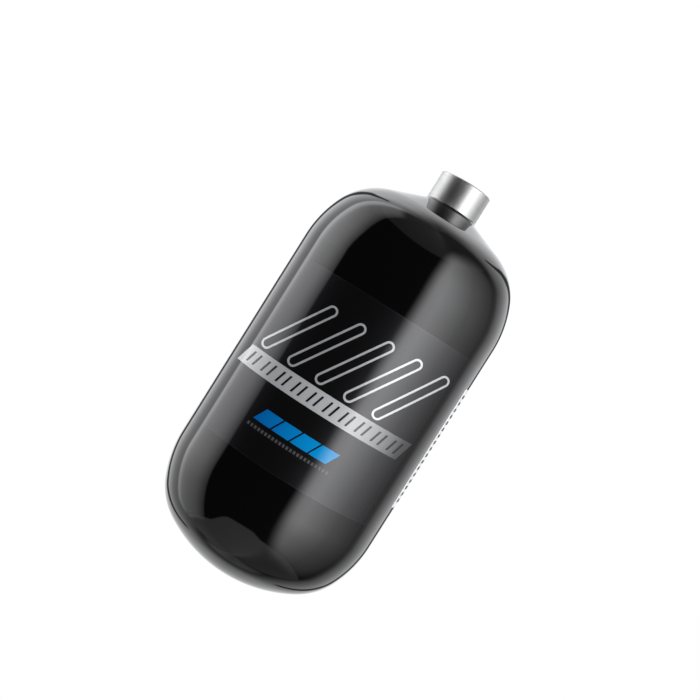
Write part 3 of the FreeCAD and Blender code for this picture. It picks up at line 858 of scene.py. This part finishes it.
def soft_box(tree, turn, lift, centre, half, roundness, soft):
    """1 inside a rounded box of directions and 0 outside it."""
    reach = []
    for angle, middle, size in zip((turn, lift), centre, half):
        away = maths(tree, "ABSOLUTE", maths(tree, "SUBTRACT", angle, middle))
        reach.append(maths(tree, "POWER", maths(tree, "DIVIDE", away, size), roundness))
    total = maths(tree, "POWER", maths(tree, "ADD", *reach), 1 / roundness)
    return spread(tree, total, 1 - soft, 1 + soft, 1.0, 0.0)


def wall_gap(tree, turn, lift, side):
    """A narrow dark gap in the wall on each side, bowed towards the front above and below."""
    bow = profile(tree, lift, (-50, 146), (-25, 149.5), (-10, 153.5), (1, 157), (11, 156.5),
                  (22, 152.5), (35, 144), (50, 133), curved=True)
    middle = maths(tree, "ADD", spread(tree, turn, -9, 9, 0, 3.5), bow)
    width = profile(tree, lift, (-50, 3), (-30, 4), (-14, 5), (-4, 6.5), (8, 6.7), (18, 5.2),
                    (32, 3.5), (50, 2.2), curved=True)
    away = maths(tree, "ABSOLUTE", maths(tree, "SUBTRACT", middle, side))
    gap = spread(tree, maths(tree, "DIVIDE", away, width), 0.5, 1.2, 0.92, 0.0)
    low_end, high_end = spread(tree, lift, -52, -47), spread(tree, lift, 48, 52, 1.0, 0.0)
    return product(tree, gap, low_end, high_end)


def walls(tree, turn, lift, side, beside):
    """Pale walls behind the subject, brightest above it, dimmer on the right and in that corner."""
    by_lift = profile(tree, lift, (-90, 0.45), (-71, 0.43), (-66, 0.2), (-62, 0.3), (-56, 0.6),
                      (-48, 0.85), (-25, 1.1), (0, 1.4), (30, 1.6), (45, 2.1), (58, 2.2),
                      (66, 1.6), (72, 1.0), (80, 0.45), (90, 0.3))
    by_turn = profile(tree, turn, (-180, 0.85), (-165, 1.0), (-154, 1.12), (-147, 1.28),
                      (-137, 1.1), (-130, 0.88), (-120, 0.85), (0, 0.5), (112, 0.2), (117, 0.24),
                      (122, 0.52), (130, 0.72), (141, 0.9), (165, 0.95), (180, 0.85))
    corner = product(tree, spread(tree, lift, 10, 35, 0.0, 0.28), spread(tree, turn, 105, 118),
                     spread(tree, turn, 140, 165, 1.0, 0.0))
    gap = wall_gap(tree, turn, lift, side)
    return product(tree, by_lift, by_turn, beside, rest_of(tree, gap), rest_of(tree, corner))


def dark_space(tree, turn, lift, beside):
    """Dark space in front of the subject, under a grey ceiling and over a grey table."""
    faint, table_level = 0.018, 0.47
    corner = spread(tree, turn, -28, -60, 0.0, 9.0)
    near_edge = spread(tree, turn, 2, 20, 0.0, 3.0)
    below = maths(tree, "ADD", maths(tree, "ADD", lift, corner), near_edge)
    table = spread(tree, below, -42.0, -40.5, table_level, 0.0)
    ceiling = product(tree, spread(tree, lift, 47.0, 49.0),
                      profile(tree, lift, (45, 0.18), (60, 0.22), (85, 0.3), (90, 0.3)))
    drift = profile(tree, turn, (-120, 1.0), (-65, 0.8), (0, 1.1), (25, 1.25), (40, 0.75),
                    (60, 0.55), (115, 0.5))
    lit = product(tree, maths(tree, "ADD", table, ceiling), drift)
    return product(tree, maths(tree, "ADD", lit, faint), rest_of(tree, beside))


def left_soft_box(tree, turn, lift):
    """Tall box on the left that leans forward as it rises and has a soft, dimming front edge."""
    lean = profile(tree, lift, (-55, -7.5), (-25, -3.5), (-6, -0.5), (0, 0.2), (4, 0.6), (20, 2.8),
                   (38, 6), (65, 9))
    leaning = maths(tree, "ADD", turn, lean)
    dip = profile(tree, lift, (-8, 0), (0, 3), (6, 3), (25, 0))
    across = maths(tree, "ADD", leaning, dip)
    return product(
        tree, soft_box(tree, leaning, lift, (-87.5, 6), (31, 58), 6.0, 0.07),
        profile(tree, across, (-122, 3.3), (-101, 3.0), (-93, 2.85), (-86, 2.65), (-79, 2.05),
                (-72.8, 1.25), (-69.7, 0.85), (-67.3, 0.0)),
        profile(tree, lift, (-55, 0.3), (-25, 0.52), (5, 1.0), (20, 0.85), (38, 0.54), (65, 0.38)))


def right_soft_box(tree, turn, lift):
    """Bright rounded box on the right that dims away from its front edge."""
    return product(
        tree, soft_box(tree, turn, lift, (69, 4), (45.3, 55), 3.0, 0.18),
        profile(tree, turn, (24, 4.0), (34, 4.6), (40, 4.75), (51, 3.75), (63, 2.65), (76, 1.6),
                (90, 0.97), (100, 0.6), (111, 0.33), (118, 0.2)),
        profile(tree, lift, (-52, 0.09), (-47, 0.24), (-41, 0.37), (-34, 0.46), (-25, 0.56),
                (-8, 0.87), (0, 1.0), (15, 1.03), (30, 0.97), (41, 0.82), (55, 0.64)))


def make_studio_light():
    """White room with a tall soft box on each side and dark space in front, drawn by direction.

    Turn is the angle round the axis from the front, positive to the right; lift is the angle
    above the horizon. The camera sees plain white."""
    to_degrees, background_level = 180 / math.pi, 1.02
    world = bpy.data.worlds.new("studio")
    bpy.context.scene.world = world
    world.use_nodes = True
    tree = world.node_tree
    background = tree.nodes["Background"]
    background.inputs["Color"].default_value = (0.99, 0.995, 1.012, 1.0)
    direction = tree.nodes.new("ShaderNodeTexCoord").outputs["Generated"]
    across, depth, up = split(tree, direction)
    front = maths(tree, "MULTIPLY", depth, -1.0)
    turn = maths(tree, "MULTIPLY", maths(tree, "ARCTAN2", across, front), to_degrees)
    lift = maths(tree, "MULTIPLY", maths(tree, "ARCSINE", up), to_degrees)
    side = maths(tree, "ABSOLUTE", turn)
    beside = spread(tree, side, 108, 119)

    total = walls(tree, turn, lift, side, beside)
    for light in (
        dark_space(tree, turn, lift, beside),
        left_soft_box(tree, turn, lift),
        right_soft_box(tree, turn, lift),
    ):
        total = maths(tree, "ADD", total, light)

    seen = tree.nodes.new("ShaderNodeLightPath").outputs["Is Camera Ray"]
    strength = tree.nodes.new("ShaderNodeMix")
    tree.links.new(seen, strength.inputs["Factor"])
    tree.links.new(total, strength.inputs["A"])
    strength.inputs["B"].default_value = background_level
    tree.links.new(strength.outputs["Result"], background.inputs["Strength"])


def make_camera():
    """Level view of the front, rolled so that the cylinder leans to the right."""
    focal_length = 68.7
    distance, height = 0.714, 0.1493
    pan, tilt, roll = -0.475, 1.19, 32.18
    data = bpy.data.cameras.new("camera")
    data.lens = focal_length
    camera = bpy.data.objects.new("camera", data)
    bpy.context.scene.collection.objects.link(camera)
    bpy.context.scene.camera = camera
    forward = Vector((sine(pan) * cosine(tilt), cosine(pan) * cosine(tilt), -sine(tilt)))
    level_right = forward.cross(Vector((0, 0, 1))).normalized()
    level_up = level_right.cross(forward)
    up = level_up * cosine(roll) - level_right * sine(roll)
    right = level_up * sine(roll) + level_right * cosine(roll)
    turned = Matrix((right, up, -forward)).transposed()
    camera.matrix_world = Matrix.Translation((0, -distance, height)) @ turned.to_4x4()


make_lacquer()
make_film()
make_band()
make_capsules()
make_lozenges()
make_dashes()
make_data_label()
make_data_rows()
make_liner()
dress_inner_layers()
make_floor()
make_studio_light()
make_camera()
bpy.context.scene.view_settings.view_transform = "Standard"
